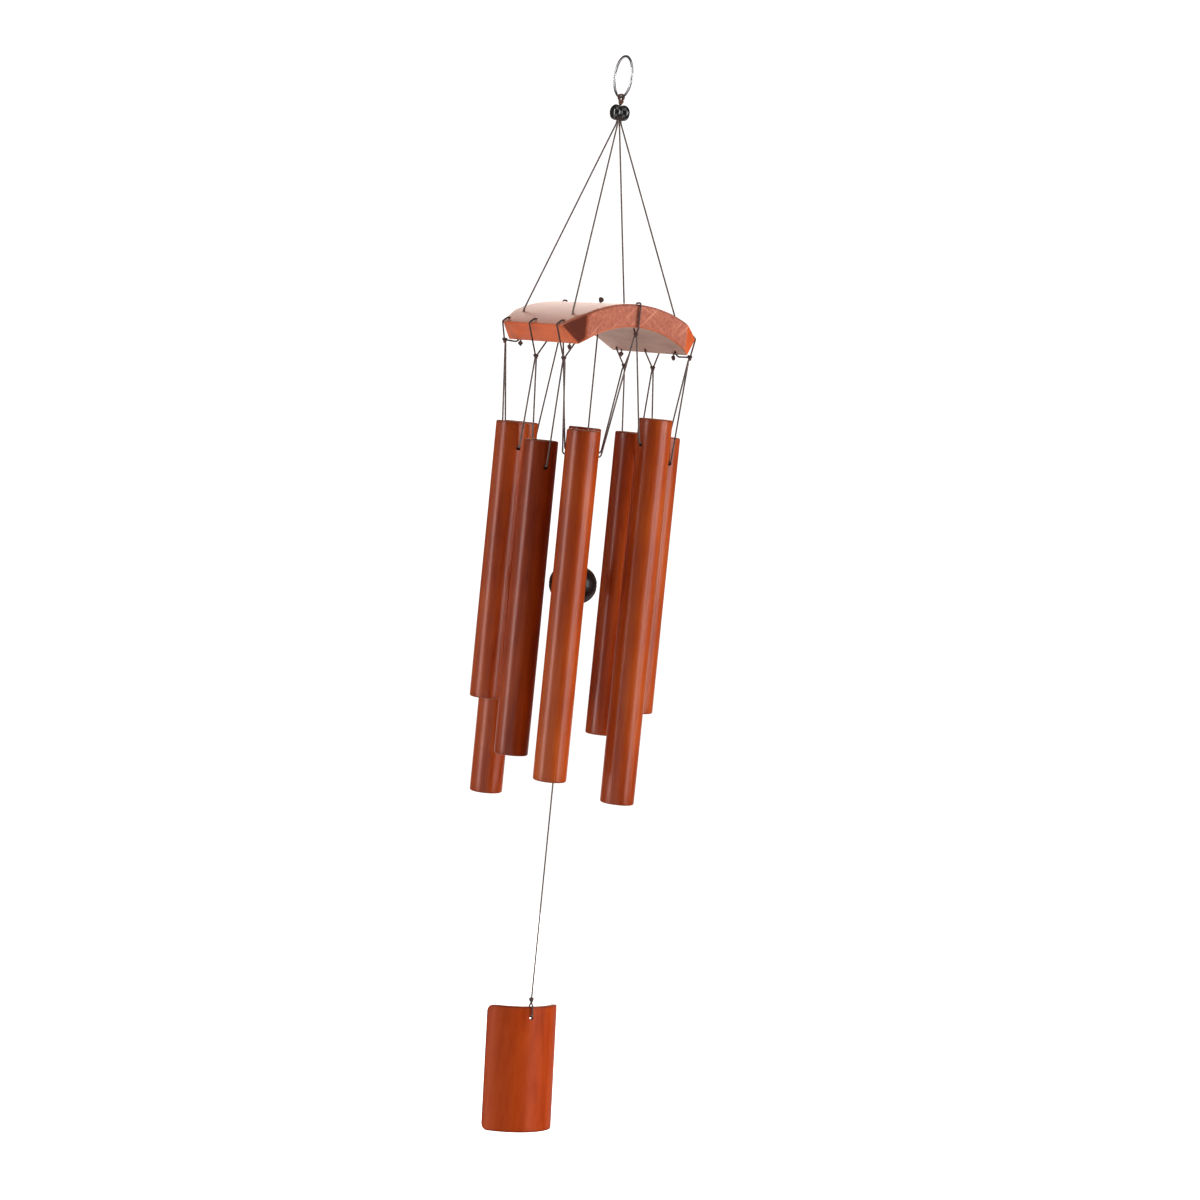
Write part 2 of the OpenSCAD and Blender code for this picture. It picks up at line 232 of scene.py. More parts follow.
steel, at, feed = finish_start("bright_steel_wire", Metallic=1.0)
scuffs = at.noise(260, 2)
feed("Base Color", scuffs.ramp((0.3, (0.4, 0.4, 0.4)), (0.7, (0.6, 0.6, 0.59))))
feed("Roughness", scuffs * 0.1 + 0.2)


def only(obj):
    bpy.ops.object.select_all(action="DESELECT")
    obj.select_set(True)
    bpy.context.view_layer.objects.active = obj


def settle(obj, material, body, slot, *nodes):
    """Gives a finished piece its place in the mesh, its finish, and the body that it moves with."""
    only(obj)
    bpy.ops.object.transform_apply(location=True, rotation=True, scale=True)
    obj.data.materials.clear()
    obj.data.materials.append(material)
    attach(obj, body)
    if nodes:
        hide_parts(*nodes)


def select_where(obj, kind, test):
    """In edit mode, selects the vertices, edges or faces that pass test."""
    bpy.ops.mesh.select_mode(type=kind)
    bpy.ops.mesh.select_all(action="DESELECT")
    bpy.ops.object.mode_set(mode="OBJECT")
    mesh = obj.data
    parts = {"VERT": mesh.vertices, "EDGE": mesh.edges, "FACE": mesh.polygons}[kind]
    for part in parts:
        part.select = bool(test(part))
    bpy.ops.object.mode_set(mode="EDIT")


bpy.ops.object.select_all(action="DESELECT")
bpy.ops.mesh.primitive_torus_add(
    major_segments=120, minor_segments=20, major_radius=(RING_OD - WIRE) / 2,
    minor_radius=WIRE / 2, location=(0, 0, ring_z), rotation=(0, math.pi / 2, 0))
ring = bpy.context.object
ring.name = "ring_wire"
bpy.ops.object.transform_apply(location=True, rotation=True, scale=True)
bpy.ops.object.mode_set(mode="EDIT")
select_where(ring, "VERT", lambda v: abs(v.co.y) < SEAM_HALF and v.co.z > -SEAM_TALL)
bpy.ops.transform.resize(value=(SEAM_PINCH,) * 3, center_override=(0, 0, WIRE / 2))
bpy.ops.object.mode_set(mode="OBJECT")
bpy.ops.object.shade_smooth()
settle(ring, steel, "ring", "steel", "hanging_ring")

# Ring hitch: two turns of brown cord over the ring's wire, drawn together in
# one knot. All the cord of the chime is three plies twisted to 1.3 mm.
CORD, GAP, KNOT = 1.3 * MM, 0.35 * MM, 4.2 * MM
OFF = CORD / 2 + GAP
PLY_PITCH, PLY_BULGE, KNOT_THICK = 4.2 * MM, 0.12, 0.68 * MM
TUCK, DROOP = 0.3 * MM, 0.9 * MM
wire_z = ring_z - (RING_OD - WIRE) / 2
HITCH_KNOT = 4.4 * MM
hitch_z = wire_z - WIRE / 2 - GAP - HITCH_KNOT / 2


def eased(points, reach=1.6 * MM):
    """The route with each of its corners rounded, as close points."""
    points = [Vector(p) for p in points]
    line = [points[0]]
    for before, corner, after in zip(points, points[1:], points[2:]):
        cut = min(reach, 0.45 * (corner - before).length, 0.45 * (after - corner).length)
        a = corner + (before - corner).normalized() * cut
        b = corner + (after - corner).normalized() * cut
        line += [a * (1 - t) ** 2 + corner * 2 * t * (1 - t) + b * t * t
                 for t in (0, 0.2, 0.4, 0.6, 0.8, 1)]
    line.append(points[-1])
    return line


def stepped(line, step):
    """Points at even steps along a line of close points."""
    runs = [(b - a).length for a, b in zip(line, line[1:])]
    count = max(2, round(sum(runs) / step))
    gap, made, walked, k = sum(runs) / count, [line[0]], 0.0, 0
    for n in range(1, count):
        while walked + runs[k] < n * gap and k < len(runs) - 1:
            walked += runs[k]
            k += 1
        made.append(line[k].lerp(line[k + 1], (n * gap - walked) / runs[k]))
    return made + [line[-1]]


def twisted(name, points, thick=CORD, reach=1.6 * MM):
    """A cord of three plies along a route. Returns the object and its middle line."""
    path = stepped(eased(points, reach), PLY_PITCH / 9)
    sides, ring_points = 12, []
    ahead = (path[1] - path[0]).normalized()
    across = ahead.orthogonal().normalized()
    walked = 0.0
    for k, p in enumerate(path):
        new = (path[min(k + 1, len(path) - 1)] - path[max(k - 1, 0)]).normalized()
        across = (across - new * across.dot(new)).normalized()
        other = new.cross(across)
        if k:
            walked += (p - path[k - 1]).length
        lay = 2 * math.pi * walked / PLY_PITCH
        for s in range(sides):
            a = 2 * math.pi * s / sides
            r = thick / 2 * (0.93 + PLY_BULGE * math.cos(3 * a))
            ring_points.append(p + r * (across * math.cos(a + lay) + other * math.sin(a + lay)))
    last = len(path) - 1
    faces = [(k * sides + s, k * sides + (s + 1) % sides, (k + 1) * sides + (s + 1) % sides,
              (k + 1) * sides + s) for k in range(last) for s in range(sides)]
    faces += [tuple(range(sides))[::-1], tuple(last * sides + s for s in range(sides))]
    mesh = bpy.data.meshes.new(name)
    mesh.from_pydata(ring_points, [], faces)
    made = bpy.data.objects.new(name, mesh)
    scene.collection.objects.link(made)
    only(made)
    bpy.ops.object.shade_smooth()
    return made, path


def tied(name, centre, axis, across=KNOT):
    """A pulled-tight overhand knot, its eye along axis."""
    turn = Vector(axis).to_track_quat("Z", "Y")
    size = (across - CORD) / 6
    loop = []
    for k in range(60):
        t = 2 * math.pi * k / 60.5
        loop.append(Vector(centre) + turn @ Vector((
            size * (math.sin(t) + 2 * math.sin(2 * t)),
            size * (math.cos(t) - 2 * math.cos(2 * t)), -KNOT_THICK * math.sin(3 * t))))
    return twisted(name, loop, CORD * 0.98, 0.1 * MM)[0]


def joined(name, *parts):
    bpy.ops.object.select_all(action="DESELECT")
    for part in parts:
        part.select_set(True)
    bpy.context.view_layer.objects.active = parts[0]
    bpy.ops.object.join()
    parts[0].name = name
    return parts[0]


def cord_finish(name, deep, light, gloss):
    """Waxed twisted yarn: fine fibres and slow changes of tone along the cord."""
    material, at, feed = finish_start(name, Sheen_Weight=0.15, Sheen_Roughness=0.4)
    fibre = at.noise(5200, 2, 0.6)
    tone = at.noise(90, 2) * 0.6 + fibre * 0.4
    feed("Base Color", tone.ramp((0.3, deep), (0.7, light)))
    feed("Roughness", fibre * 0.25 + gloss)
    feed("Normal", fibre.bump(0.35, 0.1 * MM))
    return material


brown_cord = cord_finish("brown_lashing", (0.06, 0.02, 0.012), (0.3, 0.1, 0.05), 0.5)
grey_cord = cord_finish("grey_brown_cord", (0.075, 0.05, 0.042), (0.2, 0.135, 0.115), 0.5)
dark_cord = cord_finish("dark_knots", (0.03, 0.012, 0.01), (0.14, 0.055, 0.04), 0.5)

turn_r = WIRE / 2 + OFF
hitch_turns = []
for side in (-1, 1):
    y = side * (CORD / 2 + TUCK)
    route = [(TUCK, y / 2, hitch_z)]
    route += [(turn_r * math.cos(math.radians(a)), y, wire_z + turn_r * math.sin(math.radians(a)))
              for a in range(-40, 221, 20)]
    route += [(-TUCK, y / 2, hitch_z)]
    hitch_turns.append(twisted("hitch_turn", route)[0])
hitch = joined("hitch_lashing", *hitch_turns,
               tied("hitch_knot_flat", (0, 0, hitch_z + 0.2 * MM), (0, 0, 1), HITCH_KNOT),
               tied("hitch_knot_up", (0, 0, hitch_z - 0.6 * MM), (0.3, 1, 0), 3.6 * MM))
settle(hitch, brown_cord, "hitch", "lashing", "ring_hitch")

# Top bead: glossy black, two rounded discs in one, bored across so that all
# four suspension cords go up through it to the hitch.
BEAD_D, LOBE_R, LOBE_X, BEAD_BORE = 11 * MM, 3.5 * MM, 3 * MM, 4.6 * MM
VALLEY_DEEP, VALLEY_HALF = 0.12 * MM, 0.25 * MM
lobe_in = BEAD_D / 2 - LOBE_R
bead_z = hitch_z - lobe_in - math.sqrt((LOBE_R + HITCH_KNOT / 2 + GAP) ** 2 - LOBE_X ** 2)


def lathed(name, outline, centre, axis, steps=72):
    """Spins an outline of (distance from the axis, place along it) once round."""
    mesh = bpy.data.meshes.new(name)
    mesh.from_pydata([(r, 0, h) for r, h in outline],
                     [(k, k + 1) for k in range(len(outline) - 1)], [])
    made = bpy.data.objects.new(name, mesh)
    scene.collection.objects.link(made)
    only(made)
    bpy.ops.object.mode_set(mode="EDIT")
    bpy.ops.mesh.select_all(action="SELECT")
    bpy.ops.mesh.spin(steps=steps, angle=2 * math.pi, center=(0, 0, 0), axis=(0, 0, 1))
    bpy.ops.mesh.select_all(action="SELECT")
    bpy.ops.mesh.remove_doubles(threshold=0.005 * MM)
    bpy.ops.mesh.normals_make_consistent(inside=False)
    bpy.ops.object.mode_set(mode="OBJECT")
    made.rotation_euler = Vector(axis).to_track_quat("Z", "Y").to_euler()
    made.location = centre
    bpy.ops.object.transform_apply(location=True, rotation=True, scale=True)
    return made


def drilled(obj, holes):
    """Cuts round holes: each is a point on its axis, the axis, a length and a diameter."""
    bits = []
    for point, axis, length, width in holes:
        bpy.ops.mesh.primitive_cylinder_add(
            vertices=24, radius=width / 2, depth=length, location=point,
            rotation=Vector(axis).to_track_quat("Z", "Y").to_euler())
        bits.append(bpy.context.object)
    bit = joined("drill", *bits)
    bpy.ops.object.transform_apply(location=True, rotation=True, scale=True)
    only(obj)
    cut = obj.modifiers.new("drill", "BOOLEAN")
    cut.operation, cut.solver, cut.object = "DIFFERENCE", "EXACT", bit
    bpy.ops.object.modifier_apply(modifier=cut.name)
    bpy.data.objects.remove(bit)


half = [(lobe_in + LOBE_R * math.cos(a), LOBE_X + LOBE_R * math.sin(a))
        for a in [math.pi / 2 - k * math.radians(8) for k in range(0, 30)]]
half = [p for p in half if p[1] > VALLEY_HALF and p[0] > lobe_in - 0.001 * MM]
valley = [(half[-1][0] - VALLEY_DEEP, 0)]
outline = [(0, LOBE_X + LOBE_R)] + half + valley
outline += [(r, -h) for r, h in reversed(half)] + [(0, -LOBE_X - LOBE_R)]
bead = lathed("black_bead", outline, (0, 0, bead_z), (1, 0, 0))
drilled(bead, [((0, 0, bead_z), (0, 0, 1), 2 * BEAD_D, BEAD_BORE)])
bpy.ops.object.shade_smooth_by_angle(angle=math.radians(38))
black, at, feed = finish_start("glossy_black", Coat_Roughness=0.04)
smears = at.noise(420, 3)
feed("Base Color", smears.ramp((0.35, (0.004, 0.004, 0.004)), (0.75, (0.016, 0.015, 0.015))))
feed("Roughness", smears * 0.14 + 0.1)
feed("Coat Weight", smears * 0.3 + 0.6)
settle(bead, black, "bead", "bead", "top_bead")

# Suspension cords: four cords from the bead's bore down to the corners of the
# plate, each through a hole and stopped by a knot under it.
PLATE_R, PLATE_T, PLATE_W, PLATE_L, CORNER = 79 * MM, 16 * MM, 103 * MM, 128 * MM, 14 * MM
SUS_X, SUS_Y = 39.5 * MM, 42.5 * MM
crest_z = -170 * MM
arc_z = crest_z - PLATE_R
in_r = PLATE_R - PLATE_T
BUNDLE = 0.9 * MM
above = arc_z + math.sqrt(PLATE_R ** 2 - SUS_X ** 2)
stop_place = arc_z + math.sqrt((in_r - KNOT / 2 - GAP) ** 2 - SUS_X ** 2)
for k, (sx, sy) in enumerate([(-1, 1), (-1, -1), (1, -1), (1, 1)], 1):
    route = [(sx * BUNDLE, sy * BUNDLE, hitch_z - HITCH_KNOT / 2 - 0.1 * MM),
             (sx * BUNDLE, sy * BUNDLE, bead_z - BEAD_D / 2 - 1 * MM),
             (sx * SUS_X, sy * SUS_Y, above + 1.2 * MM), (sx * SUS_X, sy * SUS_Y, stop_place)]
    cord, path = twisted(f"suspension_line_{k}", route, reach=2.5 * MM)
    stop = joined(f"suspension_stop_{k}", tied("knot", route[-1], (1, 0.3 * sy, 0.25)),
                  tied("knot", route[-1], (0.3, -1, 0.5), 3.5 * MM))
    settle(stop, dark_cord, "canopy", "knot")
    settle(cord, grey_cord, "canopy", "cord", f"suspension_cord_{k}")
    length = sum((b - a).length for a, b in zip(path, path[1:]))

# Hanger plate: a slab split from a thick culm, so its top is the culm's own
# round skin, its long edges are cut towards the culm's axis and its ends are
# sawn. The corners are sawn off, every edge is rubbed round, and it is stained.
edge_a = math.asin(PLATE_W / 2 / PLATE_R)
end_y = PLATE_L / 2
under_z = crest_z - PLATE_T
RIM_INSET, END_INSET, RIM_Y, HOLE = 4 * MM, 6 * MM, 47.5 * MM, 2.6 * MM
rim_a = math.asin((PLATE_W / 2 - RIM_INSET) / PLATE_R)
MESH_GRAIN, RUBBING = 0.9 * MM, 7

bpy.ops.object.select_all(action="DESELECT")
bpy.ops.mesh.primitive_plane_add(size=1, rotation=(0, math.pi / 2, 0))
plate = bpy.context.object
plate.name = "bamboo_plate"
plate.scale = (PLATE_T, PLATE_L, 1)
bpy.ops.object.transform_apply(location=True, rotation=True, scale=True)
plate.data.transform(Matrix.Translation((0, 0, (in_r + PLATE_R) / 2)))
plate.data.transform(Matrix.Rotation(-edge_a, 4, "Y"))
plate.data.transform(Matrix.Translation((0, 0, arc_z)))
bpy.ops.object.mode_set(mode="EDIT")
bpy.ops.mesh.select_all(action="SELECT")
bpy.ops.mesh.spin(steps=72, angle=2 * edge_a, center=(0, 0, arc_z), axis=(0, -1, 0))
bpy.ops.mesh.select_all(action="SELECT")
bpy.ops.mesh.remove_doubles(threshold=0.01 * MM)
bpy.ops.mesh.normals_make_consistent(inside=False)
for sx in (-1, 1):
    for sy in (-1, 1):
        bpy.ops.mesh.select_all(action="SELECT")
        bpy.ops.mesh.bisect(plane_co=(sx * PLATE_W / 2, sy * (end_y - CORNER), 0),
                            plane_no=(sx, sy, 0), use_fill=True, clear_outer=True)
bpy.ops.object.mode_set(mode="OBJECT")
fine = plate.modifiers.new("fine", "REMESH")
fine.mode, fine.voxel_size = "VOXEL", MESH_GRAIN
bpy.ops.object.modifier_apply(modifier=fine.name)
rubbed = plate.modifiers.new("rubbed", "SMOOTH")
rubbed.factor, rubbed.iterations = 0.5, RUBBING
bpy.ops.object.modifier_apply(modifier=rubbed.name)
holes = [((sx * SUS_X, sy * SUS_Y, crest_z - 12 * MM), (0, 0, 1), 80 * MM, HOLE)
         for sx in (-1, 1) for sy in (-1, 1)]
holes += [((s * (in_r + PLATE_T / 2) * math.sin(rim_a), y,
            arc_z + (in_r + PLATE_T / 2) * math.cos(rim_a)),
           (s * math.sin(rim_a), 0, math.cos(rim_a)), 40 * MM, HOLE)
          for s in (-1, 1) for y in (-RIM_Y, 0, RIM_Y)]
holes += [((0, s * (end_y - END_INSET), crest_z), (0, 0, 1), 60 * MM, HOLE) for s in (-1, 0, 1)]
drilled(plate, holes)
bpy.ops.object.shade_smooth_by_angle(angle=math.radians(30))


def bamboo_look(at, along, deep, mid, light, grain=1.0):
    """Colour and relief of stained bamboo: fibres run along one axis and tone drifts slowly.
    A piece may have its own tone, which on one tube also holds painted shade, and painted shade
    darkening it towards its rims."""
    thin, slow = [1.0, 1.0, 1.0], [1.0, 1.0, 1.0]
    thin["xyz".index(along)], slow["xyz".index(along)] = 0.02, 0.12
    fibre = at.stretched(*thin).noise(1500, 3, 0.6)
    streak = at.stretched(*slow).noise(170, 3, 0.55)
    tone = fibre * (0.26 * grain) + streak * 0.4 + at.noise(14, 2, 0.5) * 0.5
    tone = tone - (0.08 + 0.13 * (grain - 1)) + at.attribute("own_tone")
    colour = tone.ramp((0.3, deep), (0.5, mid), (0.72, light))
    # Painted shade: the colour darkens steeply towards each rim, standing in for the shade on the
    # rounded edge.
    rim_shaded = (at.attribute("lip") ** 4).mixed(colour, [part * 0.4 for part in deep])
    return rim_shaded, fibre * 0.6 + streak * 0.4


def sawn_look(at, deep, mid, light):
    """Colour and relief of a sawn culm: crossing saw marks and dots of cut fibre bundles."""
    marks = at.stretched(1.2, 0.2, 1.0).noise(420, 4, 0.65)
    dots = at.node("TexVoronoi", {"feature": "F1"},
                   {"Vector": at.stretched(1, 0.05, 1), "Scale": 900}, "Distance")
    pits = 1 - dots.band(0.1, 0.4)
    scratches = sum((at.turned(angle).stretched(0.06, 1, 1).noise(scale, 2, 0.5).band(0.6, 0.78)
                     for angle, scale in ((50, 620), (-38, 540))), at.noise(60, 2) * 0.2)
    tone = marks * 0.55 + scratches * 0.32 - pits * 0.14 + 0.1
    relief = marks * 0.5 + scratches * 0.3 - pits * 0.3
    return tone.ramp((0.25, deep), (0.47, mid), (0.75, light)), relief


def bamboo_finish(name, along, deep, mid, light, gloss=0.3, coat=0.14, grain=1.0, shine=0.22):
    material, at, feed = finish_start(name, Coat_Roughness=0.27, Specular_IOR_Level=shine)
    colour, relief = bamboo_look(at, along, deep, mid, light, grain)
    feed("Base Color", colour)
    feed("Roughness", relief * 0.2 + (gloss - 0.1))
    feed("Coat Weight", relief * 0.2 + (coat - 0.1))
    feed("Normal", relief.bump(0.12 * grain, 0.25 * MM))
    return material


def sawn_finish(name, deep, mid, light):
    material, at, feed = finish_start(name)
    colour, relief = sawn_look(at, deep, mid, light)
    feed("Base Color", colour)
    feed("Roughness", relief * 0.2 + 0.5)
    feed("Normal", relief.bump(0.5, 0.5 * MM))
    return material


# The corner share darkens the sawn-off corners, partly as darker stain and partly as painted shade.
# It is full on the front-left corner, which lies in shade, and on the back-right one, and a third
# as strong on the other two.
LIT_CORNER_SHARE = 0.3
shares = {"skin": [], "under": [], "corner": [], "sawn": []}
for v in plate.data.vertices:
    facing = v.normal.dot(Vector((v.co.x, 0, v.co.z - arc_z)).normalized())
    for name, value, low, high in (("skin", facing, 0.5, 0.8), ("under", -facing, 0.55, 0.8),
                                   ("corner", min(abs(v.normal.x), abs(v.normal.y)), 0.5, 0.65),
                                   ("sawn", abs(v.normal.y), 0.76, 0.92)):
        t = min(1, max(0, (value - low) / (high - low)))
        lit_corner = name == "corner" and v.co.x * v.co.y < 0
        shares[name].append(t * t * (3 - 2 * t) * (LIT_CORNER_SHARE if lit_corner else 1))
for name, values in shares.items():
    plate.data.attributes.new(name, "FLOAT", "POINT").data.foreach_set("value", values)
plate_bamboo, at, feed = finish_start("stained_bamboo_plate", Coat_Roughness=0.3,
                                      Specular_IOR_Level=0.35)
skin, under, corner, sawn = [at.attribute(name) for name in shares]
skin_colour, skin_relief = bamboo_look(at, "y", (0.36, 0.085, 0.038), (0.5, 0.14, 0.065),
                                       (0.6, 0.2, 0.1), 0.7)
split_colour, split_relief = bamboo_look(at, "y", (0.52, 0.072, 0.01), (0.7, 0.115, 0.02),
                                         (0.8, 0.165, 0.04), 1.5)
under_colour, _ = bamboo_look(at, "y", (0.4, 0.22, 0.165), (0.56, 0.34, 0.27),
                              (0.66, 0.44, 0.36), 1.4)
sawn_colour, sawn_relief = sawn_look(at, (0.33, 0.055, 0.02), (0.53, 0.128, 0.056),
                                     (0.72, 0.27, 0.16))
# Dark corner colour: darker stain on the chamfers, and painted shade where the corner share is
# full.
corner_stain_and_shade, _ = bamboo_look(at, "y", (0.12, 0.014, 0.003), (0.2, 0.025, 0.005),
                               (0.3, 0.045, 0.01), 1.5)
colour = skin.mixed(corner.mixed(split_colour, corner_stain_and_shade), skin_colour)
colour = under.mixed(colour, under_colour)
depth = at.node("VectorMath", {"operation": "LENGTH"}, {0: at.node(
    "Mapping", {}, {"Vector": at, "Location": (0, 0, -arc_z), "Scale": (1, 0, 1)})}, "Value")
# End faces: a darker band along the outer skin edge, and a painted highlight, a bright orange line,
# along the inner edge where the rubbed edge catches light.
skin_line = depth.band(PLATE_R - 1.7 * MM, PLATE_R - 0.8 * MM)
hollow_edge_highlight = 1 - depth.band(in_r + 0.9 * MM, in_r + 1.8 * MM)
sawn_colour = skin_line.mixed(sawn_colour, (0.16, 0.03, 0.012))
sawn_colour = hollow_edge_highlight.mixed(sawn_colour, (0.5, 0.1, 0.025))
feed("Base Color", sawn.mixed(colour, sawn_colour))
feed("Roughness", under * 0.2 + sawn * 0.15 + corner * 0.45 + (skin_relief * 0.2 + 0.3))
feed("Coat Weight", skin * 0.3)
relief = sawn.node("Mix", {"data_type": "FLOAT"}, {0: sawn, 2: split_relief * 0.2, 3: sawn_relief})
feed("Normal", relief.bump(0.5, 0.5 * MM))
settle(plate, plate_bamboo, "canopy", "plate", "hanger_plate")

# Rim loops: cord through a rim hole and over the plate's edge, tied in a knot
# just below it. Eight of them, three on each long side and one at each end.
SIDE_OUT, SIDE_DOWN = 4 * MM, 10 * MM
TIGHT_OUT, TIGHT_DOWN = 8.5 * MM, 0.5 * MM
CROWN_IN, CROWN_DOWN = 2 * MM, 4 * MM
side_x = in_r * math.sin(edge_a) + SIDE_OUT
side_z = arc_z + in_r * math.cos(edge_a) - SIDE_DOWN
crown_y, crown_z = end_y - CROWN_IN, under_z - CROWN_DOWN
tight_x = in_r * math.sin(edge_a) + TIGHT_OUT
tight_z = arc_z + in_r * math.cos(edge_a) - TIGHT_DOWN
KNOTS = [Vector(p) for p in (
    (-tight_x, RIM_Y, tight_z), (-side_x, 0, side_z), (-side_x, -RIM_Y, side_z),
    (0, -crown_y, crown_z), (tight_x, -RIM_Y, tight_z), (side_x, 0, side_z),
    (side_x, RIM_Y, side_z), (0, crown_y, crown_z))]


def on_arch(r, a):
    return r * math.sin(a), arc_z + r * math.cos(a)


def around(corner, degrees):
    a = math.radians(degrees)
    return corner[0] + OFF * math.cos(a), corner[1] + OFF * math.sin(a)


LEAD, DIP, PAST = 1.35 * MM, 0.3 * MM, 0.8 * MM
edge, inner_edge = on_arch(PLATE_R, edge_a), on_arch(in_r, edge_a)
over_side = [around(edge, -15), around(edge, 20),
             on_arch(PLATE_R + OFF, edge_a - math.radians(0.4)),
             on_arch(PLATE_R + OFF, rim_a + LEAD / PLATE_R),
             on_arch(PLATE_R + DIP, rim_a), on_arch(in_r - PAST, rim_a)]
brow, foot, bore_y = (end_y, crest_z), (end_y, under_z), end_y - END_INSET
end_route = [(crown_y + TUCK, crown_z), around(foot, -60), around(foot, -10),
             around(brow, 0), around(brow, 45), (end_y - 0.4 * MM, crest_z + OFF),
             (bore_y + LEAD, crest_z + OFF), (bore_y, crest_z + DIP),
             (bore_y, under_z - PAST), (crown_y - TUCK, crown_z)]
for k, place in enumerate(KNOTS, 1):
    if k % 4 == 0:
        route = [(0, math.copysign(s, place.y), z) for s, z in end_route]
        eye = (1, 0, 0.2)
    else:
        bear = [around(inner_edge, 235), around(inner_edge, 290)] if k % 4 == 1 else []
        route = [(abs(place.x) + TUCK, place.z), *over_side, *bear,
                 (abs(place.x) - TUCK, place.z)]
        route = [(math.copysign(s, place.x), place.y, z) for s, z in route]
        eye = (0.5, 1, 0.15)
    loop = joined(f"rim_tie_{k}", twisted("loop", route, reach=0.9 * MM)[0],
                  tied("knot", place, eye),
                  tied("knot", place - Vector((0, 0, DROOP)), (eye[1], -eye[0], 0.5), 3.3 * MM))
    settle(loop, dark_cord, "canopy", "knot", f"rim_loop_{k}")

# Chime tubes: smooth lengths of slim bamboo with no joint in them, cut to four
# graduated lengths, rims eased by hand, stained and lacquered, and drilled
# across near the top for the cord.
TUBE_OD, TUBE_WALL, TUBE_HOLE, HOLE_INSET = 23.5 * MM, 3.2 * MM, 3.2 * MM, 17.5 * MM
TUBE_LENGTHS = [195 * MM, 218 * MM, 241 * MM, 267 * MM]
TUBE_DROP = 88 * MM
HANGS_LOWER = [0, 10 * MM, 0, -12 * MM, 0, 0, 0, 0]
SLIDES = [0, 0, -5 * MM, 0, 0, 0, 0, 3 * MM]
# Each tube's own tone, differing at random. The second tube's is lowered further as painted shade,
# standing in for the shadow of the tube in front of it.
TUBE_TONES_AND_SHADE = [0.02, -0.09, 0.04, 0.02, 0.04, -0.05, -0.06, 0.03]
TUBE_RIM_SHADE, TUBE_EASE, TUBE_CUTS = 3 * MM, 1.2 * MM, 28
OVAL, LOBED, WAVY, SHRINK, SKEW = 0.1 * MM, 0.05 * MM, 0.08 * MM, 0.06 * MM, 0.12 * MM
TUBE_SAG = TUBE_HOLE / 2 - CORD / 2 - GAP
tube_r = TUBE_OD / 2
tube_skin = bamboo_finish("tube_skin", "z", (0.2, 0.02, 0.0015), (0.345, 0.045, 0.0035),
                          (0.47, 0.082, 0.008))
tube_rim = sawn_finish("tube_cut_rim", (0.2, 0.05, 0.02), (0.34, 0.11, 0.05),
                       (0.55, 0.26, 0.14))
